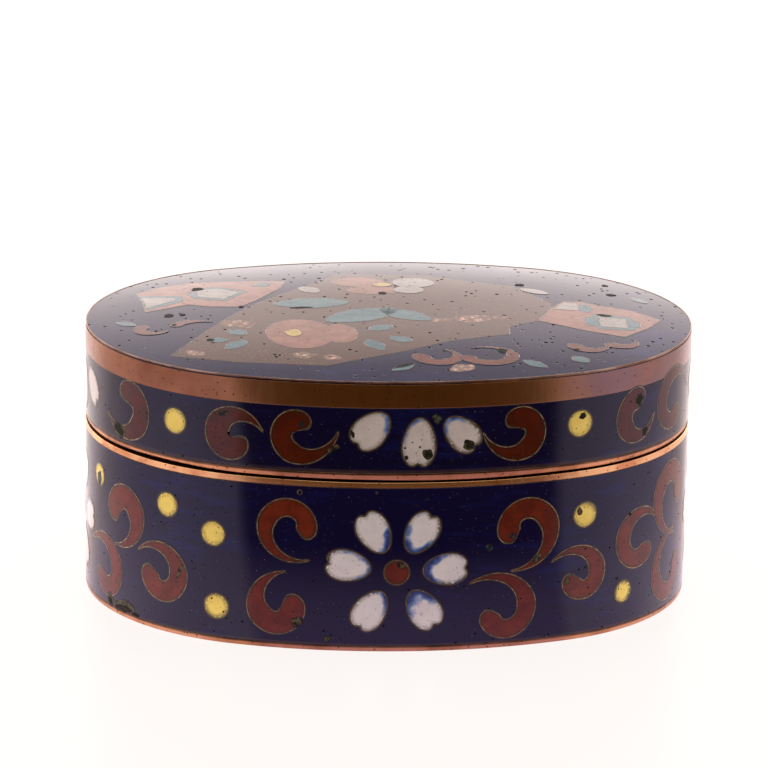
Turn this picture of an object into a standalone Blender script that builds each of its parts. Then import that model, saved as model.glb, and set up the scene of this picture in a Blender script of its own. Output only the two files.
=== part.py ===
"""Oval cloisonne enamel box of copper, with a lid that lifts off.

The plan is a four-centre oval, as a coppersmith sets one out: an arc at each
end, and a flatter arc at front and back. Every piece is that oval, taken
inwards by an inset and carried along a section of (inset, height) stations.
The long axis lies along X, the front faces -Y, and the origin is at the middle
of the base.
"""

import math

import bmesh
import bpy

MM = 0.001

# Plan of the outside wall. The arcs meet at this angle from the long axis,
# which sets both radii.
LENGTH = 76.0 * MM
WIDTH = 57.0 * MM
MEETING_ANGLE = math.radians(71.0)
END_ARC_STEPS = 22
SIDE_ARC_STEPS = 10

# Heights that show on the outside, from the foot up
FOOT_RIM_HEIGHT = 0.7 * MM
BODY_FIELD_HEIGHT = 20.0 * MM
MOUTH_RIM_HEIGHT = 0.9 * MM
LID_REST_GAP = 0.3 * MM
LID_RIM_HEIGHT = 0.7 * MM
LID_FIELD_HEIGHT = 8.1 * MM
SHOULDER_BAND_HEIGHT = 2.9 * MM
SEAM_HEIGHT = 0.12 * MM
TOP_LIP_HEIGHT = 0.3 * MM
DOME_RISE = 0.9 * MM
DOME_STEPS = 7

# Thicknesses of copper and enamel, and the gap kept between fused pieces
COPPER_WALL = 0.8 * MM
FLOOR_THICKNESS = 0.8 * MM
LID_PLATE_THICKNESS = 0.8 * MM
SIDE_ENAMEL = 0.9 * MM
TOP_ENAMEL = 0.8 * MM
BASE_ENAMEL = 0.4 * MM
LINING = 0.5 * MM
FUSED_GAP = 0.3 * MM

# Foot, collar, lip and edges
BASE_SETBACK = 0.3 * MM
COLLAR_THICKNESS = 0.7 * MM
COLLAR_DEPTH = 4.0 * MM
COLLAR_RISE = 3.0 * MM
LID_CLEARANCE = 0.3 * MM
TOP_LIP_SETBACK = 0.05 * MM
TOP_LIP_WIDTH = 0.5 * MM
LINING_FILLET = 1.2 * MM
FILLET_STEPS = 3
EDGE_BREAK = 0.15 * MM

# Insets from the outside wall, worked out from the thicknesses above
FIELD_DEPTH = SIDE_ENAMEL + FUSED_GAP
BODY_BORE = FIELD_DEPTH + COPPER_WALL
COLLAR_OUTSIDE = BODY_BORE + FUSED_GAP
COLLAR_INSIDE = COLLAR_OUTSIDE + COLLAR_THICKNESS
LID_BORE = COLLAR_OUTSIDE - LID_CLEARANCE
LIP_INSIDE = TOP_LIP_SETBACK + TOP_LIP_WIDTH
SEAM_DEPTH = TOP_LIP_SETBACK + TOP_LIP_WIDTH / 2

# Levels of the body, worked out from the heights and thicknesses above
BASE_ROOF = BASE_SETBACK + BASE_ENAMEL + FUSED_GAP
FLOOR_TOP = BASE_ROOF + FLOOR_THICKNESS
FIELD_HEAD = FOOT_RIM_HEIGHT + BODY_FIELD_HEIGHT
MOUTH = FIELD_HEAD + MOUTH_RIM_HEIGHT
COLLAR_FOOT = MOUTH - COLLAR_DEPTH
COLLAR_HEAD = MOUTH + COLLAR_RISE

# Levels of the lid, as it rests on the mouth rim
LID_EDGE = MOUTH + LID_REST_GAP
LID_FIELD_FOOT = LID_EDGE + LID_RIM_HEIGHT
LID_FIELD_HEAD = LID_FIELD_FOOT + LID_FIELD_HEIGHT
BAND_HEAD = LID_FIELD_HEAD + SHOULDER_BAND_HEIGHT
LIP_FOOT = BAND_HEAD + SEAM_HEIGHT
LIP_TOP = LIP_FOOT + TOP_LIP_HEIGHT
PLATE_TOP = LIP_TOP - TOP_ENAMEL - FUSED_GAP
CEILING = PLATE_TOP - LID_PLATE_THICKNESS

COPPER = (0.60, 0.27, 0.16, 1.0)
BLUE_ENAMEL = (0.012, 0.010, 0.060, 1.0)
LINING_ENAMEL = (0.020, 0.024, 0.110, 1.0)
SMOOTH_UNDER = math.radians(30.0)


def clear_scene():
    for thing in list(bpy.data.objects):
        bpy.data.objects.remove(thing)


def make_material(name, colour, roughness, metallic):
    material = bpy.data.materials.new(name)
    material.use_nodes = True
    shader = material.node_tree.nodes["Principled BSDF"]
    shader.inputs["Base Color"].default_value = colour
    shader.inputs["Roughness"].default_value = roughness
    shader.inputs["Metallic"].default_value = metallic
    material.diffuse_color = colour
    return material


def oval_arcs():
    """The four arcs, each as centre x, centre y, radius, start, end and steps.

    The centres lie so that neighbouring arcs share a tangent where they meet.
    """
    slack = 1 + math.tan(MEETING_ANGLE) - 1 / math.cos(MEETING_ANGLE)
    end_centre = (LENGTH - WIDTH) / 2 / slack
    side_centre = end_centre * math.tan(MEETING_ANGLE)
    end_radius = LENGTH / 2 - end_centre
    side_radius = WIDTH / 2 + side_centre
    right = (end_centre, 0.0, end_radius, -MEETING_ANGLE, MEETING_ANGLE, END_ARC_STEPS)
    back = (0.0, -side_centre, side_radius, MEETING_ANGLE, math.pi - MEETING_ANGLE, SIDE_ARC_STEPS)
    half_turn = [
        (-x, -y, radius, start + math.pi, end + math.pi, steps)
        for x, y, radius, start, end, steps in (right, back)
    ]
    return [right, back] + half_turn


def oval(inset, height, scale=1.0):
    """Points of the oval at one height, taken inwards by the inset, then scaled."""
    points = []
    for centre_x, centre_y, radius, start, end, steps in oval_arcs():
        for step in range(steps):
            angle = start + (end - start) * step / steps
            x = centre_x + (radius - inset) * math.cos(angle)
            y = centre_y + (radius - inset) * math.sin(angle)
            points.append((x * scale, y * scale, height))
    return points


def oval_piece(name, stations, material, ring=False):
    """One closed solid, made by carrying the oval from station to station.

    A ring closes on its first station. Any other piece is capped at both ends.
    """
    mesh = bmesh.new()
    place = mesh.verts.layers.int.new("place")
    loop = [mesh.verts.new(point) for point in oval(*stations[0])]
    for index, vert in enumerate(loop):
        vert[place] = index
    edges = [mesh.edges.new((loop[i - 1], loop[i])) for i in range(len(loop))]
    if not ring:
        bmesh.ops.contextual_create(mesh, geom=edges)
    for station in stations[1:] + (stations[:1] if ring else []):
        points = oval(*station)
        made = bmesh.ops.extrude_edge_only(mesh, edges=edges)["geom"]
        verts = {item for item in made if isinstance(item, bmesh.types.BMVert)}
        for vert in verts:
            vert.co = points[vert[place]]
        new_edges = (item for item in made if isinstance(item, bmesh.types.BMEdge))
        edges = [edge for edge in new_edges if verts.issuperset(edge.verts)]
    if ring:
        bmesh.ops.remove_doubles(mesh, verts=mesh.verts, dist=0.001 * MM)
    else:
        bmesh.ops.contextual_create(mesh, geom=edges)
    bmesh.ops.recalc_face_normals(mesh, faces=mesh.faces)
    data = bpy.data.meshes.new(name)
    mesh.to_mesh(data)
    mesh.free()
    data.shade_smooth()
    data.set_sharp_from_angle(angle=SMOOTH_UNDER)
    data.materials.append(material)
    bpy.context.scene.collection.objects.link(bpy.data.objects.new(name, data))


def band_stations(outer, inner, foot, head):
    """Section of an upright band, with its two outside edges broken."""
    return [
        (inner, foot),
        (outer + EDGE_BREAK, foot),
        (outer, foot + EDGE_BREAK),
        (outer, head - EDGE_BREAK),
        (outer + EDGE_BREAK, head),
        (inner, head),
    ]


def fillet_stations(inset, level, rise):
    """Quarter round from a wall at this inset to a floor or ceiling at this level.

    A rise of 1 is for a floor, with its wall above, and -1 for a ceiling.
    """
    stations = []
    for step in range(FILLET_STEPS + 1):
        angle = math.pi / 2 * step / FILLET_STEPS
        across = LINING_FILLET * (1 - math.cos(angle))
        along = LINING_FILLET * (1 - math.sin(angle))
        stations.append((inset + across, level + rise * along))
    return stations


def make_body(copper, enamel, lining):
    """The copper body, the enamel in its wall, the mouth's collar and the linings."""
    oval_piece(
        "body_shell",
        [
            (BODY_BORE, BASE_ROOF),
            (BODY_BORE, 0.0),
            (EDGE_BREAK, 0.0),
            (0.0, EDGE_BREAK),
            (0.0, FOOT_RIM_HEIGHT),
            (FIELD_DEPTH, FOOT_RIM_HEIGHT),
            (FIELD_DEPTH, FIELD_HEAD),
            (0.0, FIELD_HEAD),
            (0.0, MOUTH - EDGE_BREAK),
            (EDGE_BREAK, MOUTH),
            (BODY_BORE, MOUTH),
            (BODY_BORE, FLOOR_TOP),
        ],
        copper,
    )
    field = band_stations(0.0, SIDE_ENAMEL, FOOT_RIM_HEIGHT + FUSED_GAP, FIELD_HEAD - FUSED_GAP)
    oval_piece("body_enamel", field, enamel, ring=True)
    collar = band_stations(COLLAR_OUTSIDE, COLLAR_INSIDE, COLLAR_FOOT, COLLAR_HEAD)
    oval_piece("body_collar", collar, copper, ring=True)
    lining_outside = BODY_BORE + FUSED_GAP
    lining_inside = lining_outside + LINING
    lining_foot = FLOOR_TOP + FUSED_GAP
    lining_head = COLLAR_FOOT - FUSED_GAP
    cup = [
        (lining_outside, lining_foot),
        (lining_outside, lining_head),
        (lining_inside, lining_head),
    ]
    cup += fillet_stations(lining_inside, lining_foot + LINING, 1)
    oval_piece("body_lining", cup, lining)
    base = [(lining_outside, BASE_SETBACK), (lining_outside, BASE_SETBACK + BASE_ENAMEL)]
    oval_piece("base_enamel", base, lining)


def make_lid(copper, enamel, lining):
    """The copper lid, the enamel in its side and top, and its lining."""
    oval_piece(
        "lid_shell",
        [
            (LID_BORE, CEILING),
            (LID_BORE, LID_EDGE),
            (EDGE_BREAK, LID_EDGE),
            (0.0, LID_EDGE + EDGE_BREAK),
            (0.0, LID_FIELD_FOOT),
            (FIELD_DEPTH, LID_FIELD_FOOT),
            (FIELD_DEPTH, LID_FIELD_HEAD),
            (0.0, LID_FIELD_HEAD),
            (0.0, BAND_HEAD),
            (SEAM_DEPTH, BAND_HEAD),
            (SEAM_DEPTH, LIP_FOOT),
            (TOP_LIP_SETBACK, LIP_FOOT),
            (TOP_LIP_SETBACK, LIP_TOP - EDGE_BREAK),
            (TOP_LIP_SETBACK + EDGE_BREAK, LIP_TOP),
            (LIP_INSIDE, LIP_TOP),
            (LIP_INSIDE, PLATE_TOP),
        ],
        copper,
    )
    field = band_stations(0.0, SIDE_ENAMEL, LID_FIELD_FOOT + FUSED_GAP, LID_FIELD_HEAD - FUSED_GAP)
    oval_piece("lid_side_enamel", field, enamel, ring=True)
    edge = LIP_INSIDE + FUSED_GAP
    plaque = [(edge, PLATE_TOP + FUSED_GAP)]
    for step in range(DOME_STEPS):
        scale = 1 - step / DOME_STEPS
        plaque.append((edge, LIP_TOP + DOME_RISE * (1 - scale**2), scale))
    oval_piece("lid_top_enamel", plaque, enamel)
    lining_outside = LID_BORE + FUSED_GAP
    lining_inside = lining_outside + LINING
    lining_head = CEILING - FUSED_GAP
    lining_foot = COLLAR_HEAD + LID_REST_GAP
    cap = [
        (lining_outside, lining_head),
        (lining_outside, lining_foot),
        (lining_inside, lining_foot),
    ]
    cap += fillet_stations(lining_inside, lining_head - LINING, -1)
    oval_piece("lid_lining", cap, lining)


def main():
    clear_scene()
    copper = make_material("copper", COPPER, 0.30, 1.0)
    enamel = make_material("blue_enamel", BLUE_ENAMEL, 0.10, 0.0)
    lining = make_material("counter_enamel", LINING_ENAMEL, 0.25, 0.0)
    make_body(copper, enamel, lining)
    make_lid(copper, enamel, lining)


main()
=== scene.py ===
import math
import random

import bmesh
import bpy
from mathutils import Matrix, Vector, noise


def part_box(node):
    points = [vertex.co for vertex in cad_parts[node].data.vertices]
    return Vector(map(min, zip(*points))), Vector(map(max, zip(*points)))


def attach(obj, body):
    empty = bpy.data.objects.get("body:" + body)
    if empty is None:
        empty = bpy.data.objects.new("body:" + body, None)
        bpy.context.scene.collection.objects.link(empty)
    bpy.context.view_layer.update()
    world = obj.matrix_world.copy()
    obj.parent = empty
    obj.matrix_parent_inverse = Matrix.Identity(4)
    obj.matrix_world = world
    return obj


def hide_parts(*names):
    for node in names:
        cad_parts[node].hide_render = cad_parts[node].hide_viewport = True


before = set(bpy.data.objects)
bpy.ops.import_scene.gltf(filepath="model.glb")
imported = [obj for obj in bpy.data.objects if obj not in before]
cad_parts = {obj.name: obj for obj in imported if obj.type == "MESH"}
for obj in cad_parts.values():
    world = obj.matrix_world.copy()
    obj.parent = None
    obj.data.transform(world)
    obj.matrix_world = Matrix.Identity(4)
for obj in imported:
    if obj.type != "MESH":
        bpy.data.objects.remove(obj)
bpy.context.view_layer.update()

# Body shell: the copper body of the box, raised from sheet with a floor, a foot
# rim and a mouth rim. Its wall steps back between the rims, and the enamel fills
# that field flush. The copper is rubbed bright and has a thin brown patina.
MM = 0.001
FUSED_GAP = 0.3 * MM
MEETING_ANGLE = math.radians(71.0)
PIT_BLACK = (0.0025, 0.0025, 0.003)
RIM_SOFTNESS = 0.10 * MM
FOOT_ROUND = 0.15 * MM
COLUMNS_PER_ARC = 72
BODY_LOW, BODY_HIGH = (Vector(corner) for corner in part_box("body_shell"))
FIELD_LOW, FIELD_HIGH = (Vector(corner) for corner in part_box("body_enamel"))
BASE_LOW, BASE_HIGH = (Vector(corner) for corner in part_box("base_enamel"))
CUP_LOW, CUP_HIGH = (Vector(corner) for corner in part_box("body_lining"))
HALF_LENGTH, HALF_WIDTH = BODY_HIGH.x, BODY_HIGH.y
FIELD_DEPTH = 1.2 * MM
BORE = HALF_LENGTH - BASE_HIGH.x - FUSED_GAP
FIELD_FOOT = FIELD_LOW.z - FUSED_GAP
FIELD_HEAD = FIELD_HIGH.z + FUSED_GAP
MOUTH = BODY_HIGH.z

# The plan is a four-centre oval: end arcs and flatter front and back arcs.
ARC_SLACK = 1 + math.tan(MEETING_ANGLE) - 1 / math.cos(MEETING_ANGLE)
END_CENTRE = (HALF_LENGTH - HALF_WIDTH) / ARC_SLACK
SIDE_CENTRE = END_CENTRE * math.tan(MEETING_ANGLE)
END_RADIUS = HALF_LENGTH - END_CENTRE
SIDE_RADIUS = HALF_WIDTH + SIDE_CENTRE
QUARTER_SIDE = SIDE_RADIUS * (math.pi / 2 - MEETING_ANGLE)
QUARTER_END = END_RADIUS * MEETING_ANGLE
GIRTH = 4 * (QUARTER_SIDE + QUARTER_END)


def wall_point(along, height, inset=0.0):
    """The place on the wall at a distance along it from the middle of the front."""
    along = (along + GIRTH / 2) % GIRTH - GIRTH / 2
    side = 1 if along >= 0 else -1
    far = abs(along)
    front = 1
    if far > GIRTH / 4:
        far = GIRTH / 2 - far
        front = -1
    if far <= QUARTER_SIDE:
        turn = far / SIDE_RADIUS
        x = (SIDE_RADIUS - inset) * math.sin(turn)
        y = SIDE_CENTRE - (SIDE_RADIUS - inset) * math.cos(turn)
    else:
        turn = MEETING_ANGLE - (far - QUARTER_SIDE) / END_RADIUS
        x = END_CENTRE + (END_RADIUS - inset) * math.cos(turn)
        y = -(END_RADIUS - inset) * math.sin(turn)
    return Vector((side * x, front * y, height))


class Value:
    """A socket of a finish, so that shader maths reads as ordinary maths."""

    def __init__(self, finish, socket):
        self.finish = finish
        self.socket = socket

    def combine(self, operation, left, right):
        return self.finish.node("Math", {"operation": operation}, {0: left, 1: right})

    def __add__(self, other):
        return self.combine("ADD", self, other)

    def __radd__(self, other):
        return self.combine("ADD", other, self)

    def __sub__(self, other):
        return self.combine("SUBTRACT", self, other)

    def __rsub__(self, other):
        return self.combine("SUBTRACT", other, self)

    def __mul__(self, other):
        return self.combine("MULTIPLY", self, other)

    def __rmul__(self, other):
        return self.combine("MULTIPLY", other, self)

    def __truediv__(self, other):
        return self.combine("DIVIDE", self, other)

    def __pow__(self, other):
        return self.combine("POWER", self, other)


class Finish:
    """A material, with the few kinds of pattern that enamel and copper need."""

    def __init__(self, name, colour, roughness, metallic=0.0):
        self.material = bpy.data.materials.new(name)
        self.material.use_nodes = True
        self.tree = self.material.node_tree
        self.surface = self.tree.nodes["Principled BSDF"]
        self.feed("Base Color", (*colour, 1.0))
        self.feed("Roughness", roughness)
        self.feed("Metallic", metallic)

    def feed(self, socket, value):
        if isinstance(socket, str):
            socket = self.surface.inputs[socket]
        if isinstance(value, Value):
            self.tree.links.new(value.socket, socket)
        else:
            socket.default_value = value

    def node(self, kind, settings, sockets, output=0):
        made = self.tree.nodes.new("ShaderNode" + kind)
        for key, value in settings.items():
            if key == "stops":
                for index, (position, colour) in enumerate(value):
                    stops = made.color_ramp.elements
                    stop = stops[index] if index < 2 else stops.new(position)
                    stop.position = position
                    stop.color = colour
            else:
                setattr(made, key, value)
        for key, value in sockets.items():
            self.feed(made.inputs[key], value)
        return Value(self, made.outputs[output])

    def place(self):
        return self.node("TexCoord", {}, {}, "Object")

    def unrolled(self):
        return self.node("TexCoord", {}, {}, "UV")

    def stretched(self, vector, scale):
        return self.node("Mapping", {}, {"Vector": vector, "Scale": scale})

    def near_height(self, height, reach):
        """One at this height on the object, falling to zero at its reach."""
        above = self.node("SeparateXYZ", {}, {0: self.place()}, "Z") - height
        return 1.0 - self.ease(above * above, 0.0, reach * reach)

    def cloud(self, vector, scale, detail=3.0, roughness=0.5):
        sockets = {"Vector": vector, "Scale": scale, "Detail": detail, "Roughness": roughness}
        return self.node("TexNoise", {}, sockets)

    def specks(self, vector, scale, radius, soft=0.35):
        """One where a spot of this radius, in cells, is cut by the surface."""
        far = self.node("TexVoronoi", {}, {"Vector": vector, "Scale": scale})
        return 1.0 - self.ease(far, radius * (1 - soft), radius)

    def ease(self, value, low, high):
        settings = {"interpolation_type": "SMOOTHSTEP"}
        return self.node("MapRange", settings, {"Value": value, "From Min": low, "From Max": high})

    def mix(self, amount, first, second):
        first, second = (
            (*colour, 1.0) if isinstance(colour, tuple) else colour for colour in (first, second)
        )
        return self.node("Mix", {"data_type": "RGBA"}, {0: amount, 6: first, 7: second}, 2)

    def most(self, first, second):
        return self.node("Math", {"operation": "MAXIMUM"}, {0: first, 1: second})

    def bump(self, height, distance, strength=1.0):
        sockets = {"Height": height, "Distance": distance, "Strength": strength}
        self.feed("Normal", self.node("Bump", {}, sockets))

    def attribute(self, name):
        return self.node("Attribute", {"attribute_name": name}, {}, "Fac")

    def open_pits(self, pits):
        """Let the pits show as matt dark holes, which mirror nothing."""
        hole = self.tree.nodes.new("ShaderNodeBsdfDiffuse")
        hole.inputs["Color"].default_value = (*PIT_BLACK, 1.0)
        both = self.tree.nodes.new("ShaderNodeMixShader")
        self.feed(both.inputs[0], pits)
        self.tree.links.new(self.surface.outputs[0], both.inputs[1])
        self.tree.links.new(hole.outputs[0], both.inputs[2])
        self.tree.links.new(both.outputs[0], self.tree.nodes["Material Output"].inputs["Surface"])


def copper_finish(name, bright, brown, brown_from, brown_to, roughness, fired=()):
    """Copper with a cloudy brown patina, fine rubbing lines and dark specks.

    Fired gives the heights at which enamel meets it, and how far it is dark there.
    """
    finish = Finish(name, bright, roughness, 1.0)
    place = finish.place()
    lines = finish.cloud(finish.stretched(finish.unrolled(), (260.0, 2400.0, 1.0)), 1.0, 4.0)
    patches = finish.cloud(place, 260.0, 6.0, 0.6)
    patina = finish.ease(patches, brown_from, brown_to)
    dirt = finish.specks(place, 1500.0, 0.20)
    worn = finish.mix(patina, bright, brown)
    for height, reach in fired:
        burnt = finish.near_height(height, reach) * (patches * 0.6 + 0.55)
        worn = finish.mix(burnt, worn, (0.035, 0.022, 0.014))
    finish.feed("Base Color", finish.mix(dirt * 0.85, worn, (0.05, 0.03, 0.02)))
    finish.feed("Roughness", lines * 0.16 + patches * 0.14 + (roughness - 0.15))
    finish.bump(lines * 0.4 + patches * 0.6 - dirt, 0.02 * MM, 0.6)
    return finish.material


def softened(corners, radius=RIM_SOFTNESS):
    """A section's corners, each turned into a small round of its own or the usual size."""
    stations = [corners[0]]
    for before, corner, after in zip(corners, corners[1:], corners[2:]):
        corner_at = Vector(corner[:2])
        back = Vector(before[:2]) - corner_at
        on = Vector(after[:2]) - corner_at
        size = corner[2] if len(corner) > 2 else radius
        soft = min(size, 0.45 * back.length, 0.45 * on.length)
        back.normalize()
        on.normalize()
        first = corner_at + back * soft
        last = corner_at + on * soft
        early = (first * 9 + corner_at * 6 + last) / 16
        middle = (first + corner_at * 2 + last) / 4
        late = (first + corner_at * 6 + last * 9) / 16
        for point in (first, early, middle, late, last):
            stations.append(tuple(point))
    stations.append(corners[-1])
    return stations


def oval_piece(name, stations, finishes, ring=False, finish_at=None, waver=0.0, shift=None):
    """A closed piece that carries the oval along stations of (inset, height).

    finish_at picks the finish of each strip from the height and inset at its middle,
    waver draws the hammered wall in and out a little, and shift lifts its points.
    """
    mesh = bmesh.new()
    count = COLUMNS_PER_ARC * 4
    place = mesh.verts.layers.int.new("place")
    across = mesh.loops.layers.uv.new("unrolled")
    circle = bmesh.ops.create_circle(mesh, cap_ends=not ring, segments=count, radius=1.0)["verts"]
    circle.sort(key=lambda vert: math.atan2(vert.co.y, vert.co.x))

    def settle(verts, inset, height):
        for vert in verts:
            along = GIRTH * vert[place] / count
            spot = wall_point(along, height, inset)
            hammered = waver * (1 + noise.noise(spot * 90.0)) / 2
            spot = wall_point(along, height, inset + (hammered if inset < FIELD_DEPTH else 0.0))
            vert.co = shift(along, spot) if shift else spot

    for index, vert in enumerate(circle):
        vert[place] = index
    settle(circle, *stations[0])
    edges = list({edge for vert in circle for edge in vert.link_edges})
    lap = stations[1:] + ([stations[0]] if ring else [])
    previous = stations[0]
    for station in lap:
        made = bmesh.ops.extrude_edge_only(mesh, edges=edges)["geom"]
        verts = {item for item in made if isinstance(item, bmesh.types.BMVert)}
        settle(verts, *station)
        inset = (previous[0] + station[0]) / 2
        height = (previous[1] + station[1]) / 2
        index = finish_at(inset, height) if finish_at else 0
        for item in made:
            if isinstance(item, bmesh.types.BMFace):
                item.material_index = index
        new_edges = (item for item in made if isinstance(item, bmesh.types.BMEdge))
        edges = [edge for edge in new_edges if verts.issuperset(edge.verts)]
        previous = station
    if ring:
        bmesh.ops.remove_doubles(mesh, verts=mesh.verts, dist=0.0001 * MM)
    else:
        bmesh.ops.contextual_create(mesh, geom=edges)
    bmesh.ops.recalc_face_normals(mesh, faces=mesh.faces)
    for face in mesh.faces:
        columns = [loop.vert[place] for loop in face.loops]
        wraps = max(columns) - min(columns) > count / 2
        for loop, column in zip(face.loops, columns):
            lapped = column + count if wraps and column < count / 2 else column
            loop[across].uv = (lapped * GIRTH / count, loop.vert.co.z + loop.vert.co.y * 0.2)
    return finished(name, mesh, finishes)


def finished(name, mesh, finishes, sharp_degrees=32.0):
    data = bpy.data.meshes.new(name)
    mesh.to_mesh(data)
    mesh.free()
    data.shade_smooth()
    data.set_sharp_from_angle(angle=math.radians(sharp_degrees))
    piece = bpy.data.objects.new(name, data)
    for finish in finishes:
        data.materials.append(finish)
    bpy.context.scene.collection.objects.link(piece)
    return piece


def between(along, knots):
    """The height that hand filing left at a place along the rim, between known ones."""
    along = ((along + GIRTH / 2) % GIRTH - GIRTH / 2) / MM
    for (start, low), (end, high) in zip(knots, knots[1:]):
        if start <= along <= end:
            share = (along - start) / (end - start)
            return MM * (low + (high - low) * share * share * (3 - 2 * share))
    return 0.0


MOUTH_KNOTS = [(-60, 0), (-44, -0.06), (-28, -0.04), (-6, -0.17), (10, -0.17), (24, -0.02), (60, 0)]


def mouth_wave(along, spot):
    """The filed mouth rim is lowest in the middle of the front."""
    if spot.z > FIELD_HEAD + 0.2 * MM:
        spot.z += between(along, MOUTH_KNOTS) - 0.02 * MM * (1 + noise.noise(spot * 120.0))
    return spot


def body_zone(inset, height):
    """The mouth rim is rubbed brighter than the foot rim; its seat for the lid is painted near-black, as painted
    shade under the lid.
    """
    if height > MOUTH - 0.01 * MM and inset > RIM_SOFTNESS:
        return 2
    return 1 if height > FIELD_HEAD else 0


FOOT_COPPER = copper_finish(
    "foot_copper", (0.67, 0.34, 0.185), (0.46, 0.21, 0.10), 0.40, 0.66, 0.28, [(FIELD_FOOT, 0.30 * MM)]
)
MOUTH_COPPER = copper_finish(
    "mouth_copper", (1.0, 0.58, 0.27), (0.72, 0.30, 0.13), 0.40, 0.70, 0.26, [(FIELD_HEAD, 0.16 * MM)]
)
# Painted shade: the seat under the lid gets near-black copper, where the lid's rim overhangs it.
SHADED_SEAT_COPPER = copper_finish("painted_shade_seat_copper", (0.11, 0.045, 0.020), (0.05, 0.020, 0.010), 0.40, 0.70, 0.5)
body = oval_piece(
    "body_copper",
    [(BORE, BASE_HIGH.z + FUSED_GAP)]
    + softened(
        [
            (BORE, BASE_HIGH.z),
            (BORE, 0.0),
            (0.0, 0.0, FOOT_ROUND),
            (0.0, FIELD_FOOT),
            (FIELD_DEPTH, FIELD_FOOT),
            (FIELD_DEPTH, FIELD_HEAD),
            (0.0, FIELD_HEAD),
            (0.0, MOUTH, 0.05 * MM),
            (BORE, MOUTH),
            (BORE, CUP_LOW.z),
        ]
    )
    + [(BORE, CUP_LOW.z - FUSED_GAP)],
    [FOOT_COPPER, MOUTH_COPPER, SHADED_SEAT_COPPER],
    finish_at=body_zone,
    waver=0.04 * MM,
    shift=mouth_wave,
)
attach(body, "root")
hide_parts("body_shell")

# Body collar: a plain strip of copper soldered inside the mouth. It stands up
# above the rim, and the lid drops over it. It is left as filed, a little dull,
# and its copper is painted dark red-brown as painted shade, since it shows only in the gap under the lid.
COLLAR_LOW, COLLAR_HIGH = (Vector(corner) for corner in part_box("body_collar"))
COLLAR_OUTSIDE = HALF_LENGTH - COLLAR_HIGH.x
COLLAR_THICKNESS = 0.7 * MM
# Painted shade: the collar's copper is dark red-brown, for the shaded gap under the lid.
SHADED_COLLAR_COPPER = copper_finish(
    "painted_shade_collar_copper", (0.26, 0.11, 0.05), (0.15, 0.055, 0.025), 0.40, 0.70, 0.42
)
collar_inside = COLLAR_OUTSIDE + COLLAR_THICKNESS
collar_middle = COLLAR_OUTSIDE + COLLAR_THICKNESS / 2
collar = oval_piece(
    "body_collar_strip",
    softened(
        [
            (collar_middle, COLLAR_LOW.z),
            (COLLAR_OUTSIDE, COLLAR_LOW.z),
            (COLLAR_OUTSIDE, COLLAR_HIGH.z),
            (collar_inside, COLLAR_HIGH.z),
            (collar_inside, COLLAR_LOW.z),
            (collar_middle, COLLAR_LOW.z),
        ]
    )[:-1],
    [SHADED_COLLAR_COPPER],
    ring=True,
)
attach(collar, "root")
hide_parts("body_collar")

# Counter-enamel: plain blue enamel fused inside the body and the lid and under
# the floor, which keeps the thin copper from warping. It is glossy and a little
# uneven, with fine pits, because it is not ground flat like the outside.
LINING_THICKNESS = 0.5 * MM
LINING_FILLET = 1.2 * MM
LID_LINING_LOW, LID_LINING_HIGH = (Vector(corner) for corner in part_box("lid_lining"))


def counter_enamel_finish():
    finish = Finish("counter_enamel", (0.02, 0.03, 0.14), 0.2)
    place = finish.place()
    clouds = finish.cloud(place, 140.0, 5.0, 0.6)
    pits = finish.most(finish.specks(place, 900.0, 0.10), finish.specks(place, 300.0, 0.06))
    blue = finish.mix(clouds, (0.010, 0.016, 0.085), (0.030, 0.048, 0.19))
    finish.feed("Base Color", finish.mix(pits, blue, (0.004, 0.004, 0.008)))
    finish.feed("Roughness", clouds * 0.16 + pits * 0.4 + 0.08)
    finish.bump(clouds * 0.5 - pits, 0.08 * MM)
    return finish.material


def fillet(inset, level, rise, steps=6):
    """Stations of a quarter round, from a wall to a floor (1) or a ceiling (-1)."""
    stations = []
    for step in range(steps + 1):
        turn = math.pi / 2 * step / steps
        across = inset + LINING_FILLET * (1 - math.cos(turn))
        stations.append((across, level + rise * LINING_FILLET * (1 - math.sin(turn))))
    return stations


COUNTER_ENAMEL = counter_enamel_finish()
cup_outside = HALF_LENGTH - CUP_HIGH.x
cup_inside = cup_outside + LINING_THICKNESS
cup_section = [(cup_outside, CUP_LOW.z), (cup_outside, CUP_HIGH.z), (cup_inside, CUP_HIGH.z)]
body_lining = oval_piece(
    "body_counter_enamel",
    cup_section + fillet(cup_inside, CUP_LOW.z + LINING_THICKNESS, 1),
    [COUNTER_ENAMEL],
)
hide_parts("body_lining")
cap_outside = HALF_LENGTH - LID_LINING_HIGH.x
cap_inside = cap_outside + LINING_THICKNESS
cap_section = [
    (cap_outside, LID_LINING_HIGH.z),
    (cap_outside, LID_LINING_LOW.z),
    (cap_inside, LID_LINING_LOW.z),
]
lid_lining = oval_piece(
    "lid_counter_enamel",
    cap_section + fillet(cap_inside, LID_LINING_HIGH.z - LINING_THICKNESS, -1),
    [COUNTER_ENAMEL],
)
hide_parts("lid_lining")
base = oval_piece(
    "base_counter_enamel",
    [
        (BORE + 0.5 * MM, BASE_HIGH.z + FUSED_GAP),
        (BORE, BASE_HIGH.z + FUSED_GAP),
        (BORE, BASE_LOW.z),
        (BORE + 0.3 * MM, BASE_LOW.z),
        (BORE + 0.8 * MM, BASE_LOW.z + 0.1 * MM),
        (BORE + 4.0 * MM, BASE_LOW.z + 0.12 * MM),
    ],
    [COUNTER_ENAMEL],
)
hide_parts("base_enamel")
for piece in (body_lining, lid_lining, base):
    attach(piece, "root")

# Body ground: the dark blue enamel that fills the field round the body, ground
# flush with the rims and polished. It has fine pits, faint horizontal polishing
# marks and brighter blue streaks where the enamel is thin.
GROUND_INSET = 0.03 * MM
NAVY = (0.0015, 0.0013, 0.0290)
BRIGHT_NAVY = (0.0025, 0.013, 0.125)


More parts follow.
